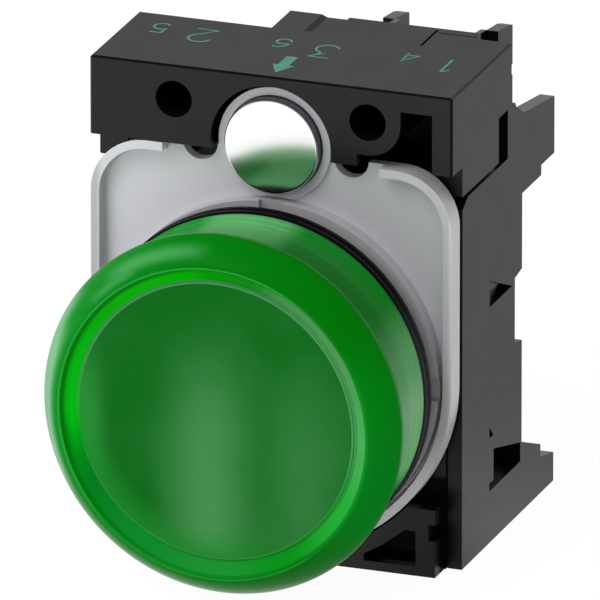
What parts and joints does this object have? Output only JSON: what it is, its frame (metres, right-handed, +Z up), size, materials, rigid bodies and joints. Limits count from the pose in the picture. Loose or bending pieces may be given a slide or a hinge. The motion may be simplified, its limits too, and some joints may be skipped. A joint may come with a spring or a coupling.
{
  "type": "panel pilot light",
  "caption": "Round green panel indicator light with a domed lens and panel seal, a black clamp holder with a grey plate and bright foot, and an LED module with screw terminals.",
  "frame": {"origin": "on the lens axis at the panel's front face, where the seal lies on it", "axes": "+Y back through the panel, +Z up, +X to the right seen from the front"},
  "size_m": [0.0298, 0.0558, 0.0398],
  "materials": {
    "lens_green": "gloss, translucent",
    "diffuser_white": "satin",
    "seal_black": "matt",
    "barrel_black": "satin",
    "ring_grey": "satin",
    "plate_grey": "satin grey",
    "foot_chrome": "polished",
    "screw_steel": "zinc plated",
    "holder_black": "fine texture",
    "module_black": "fine texture",
    "board_green": "solder resist",
    "led_clear": "clear",
    "resistor_tan": "lacquer",
    "part_black": "moulded",
    "capacitor_blue": "sleeve",
    "contact_brass": "tinned brass",
    "clamp_steel": "zinc plated"
  },
  "bodies": {
    "holder": {"lens_cap": "lens_green", "lens_diffuser": "diffuser_white", "lens_seal": "seal_black", "panel_seal": "seal_black", "actuator_barrel": "barrel_black", "support_ring": "ring_grey", "clamp_plate": "plate_grey", "holder_body": "holder_black", "holder_frame": "holder_black", "module_housing": "module_black", "module_cover": "module_black", "circuit_board": "board_green", "led_emitter": "led_clear", "dropper_resistor": "resistor_tan", "rectifier": "part_black", "filter_capacitor": "capacitor_blue", "contact_strip_top": "contact_brass", "contact_strip_bottom": "contact_brass"},
    "clamp_foot": {"clamp_foot": "foot_chrome"},
    "clamp_screw": {"clamp_screw": "screw_steel"},
    "wire_clamp_top": {"terminal_clamp_top": "clamp_steel"},
    "wire_clamp_bottom": {"terminal_clamp_bottom": "clamp_steel"},
    "wire_screw_top": {"terminal_screw_top": "screw_steel"},
    "wire_screw_bottom": {"terminal_screw_bottom": "screw_steel"}
  },
  "joints": [
    {"name": "foot_slide", "type": "slide", "parent": "holder", "child": "clamp_foot", "axis": [0, -1, 0], "range_m": [-0.0006, 0.0012]},
    {"name": "clamp_turn", "type": "hinge", "parent": "clamp_foot", "child": "clamp_screw", "pos_m": [0, 0.008, 0.01829], "axis": [0, -1, 0], "range_deg": [-309, 618]},
    {"name": "wire_clamp_top_slide", "type": "slide", "parent": "holder", "child": "wire_clamp_top", "axis": [0, 1, 0], "range_m": [0, 0.0022]},
    {"name": "wire_screw_top_turn", "type": "hinge", "parent": "wire_clamp_top", "child": "wire_screw_top", "pos_m": [0, 0.0375, 0.0104], "axis": [0, 1, 0], "range_deg": [0, 1585]},
    {"name": "wire_clamp_bottom_slide", "type": "slide", "parent": "holder", "child": "wire_clamp_bottom", "axis": [0, 1, 0], "range_m": [0, 0.0022]},
    {"name": "wire_screw_bottom_turn", "type": "hinge", "parent": "wire_clamp_bottom", "child": "wire_screw_bottom", "pos_m": [0, 0.0375, -0.0104], "axis": [0, 1, 0], "range_deg": [0, 1585]}
  ],
  "couplings": [
    {"joint": "clamp_turn", "follows": "foot_slide", "rad_per_m": 8976},
    {"joint": "wire_screw_top_turn", "follows": "wire_clamp_top_slide", "rad_per_m": 12566},
    {"joint": "wire_screw_bottom_turn", "follows": "wire_clamp_bottom_slide", "rad_per_m": 12566}
  ]
}
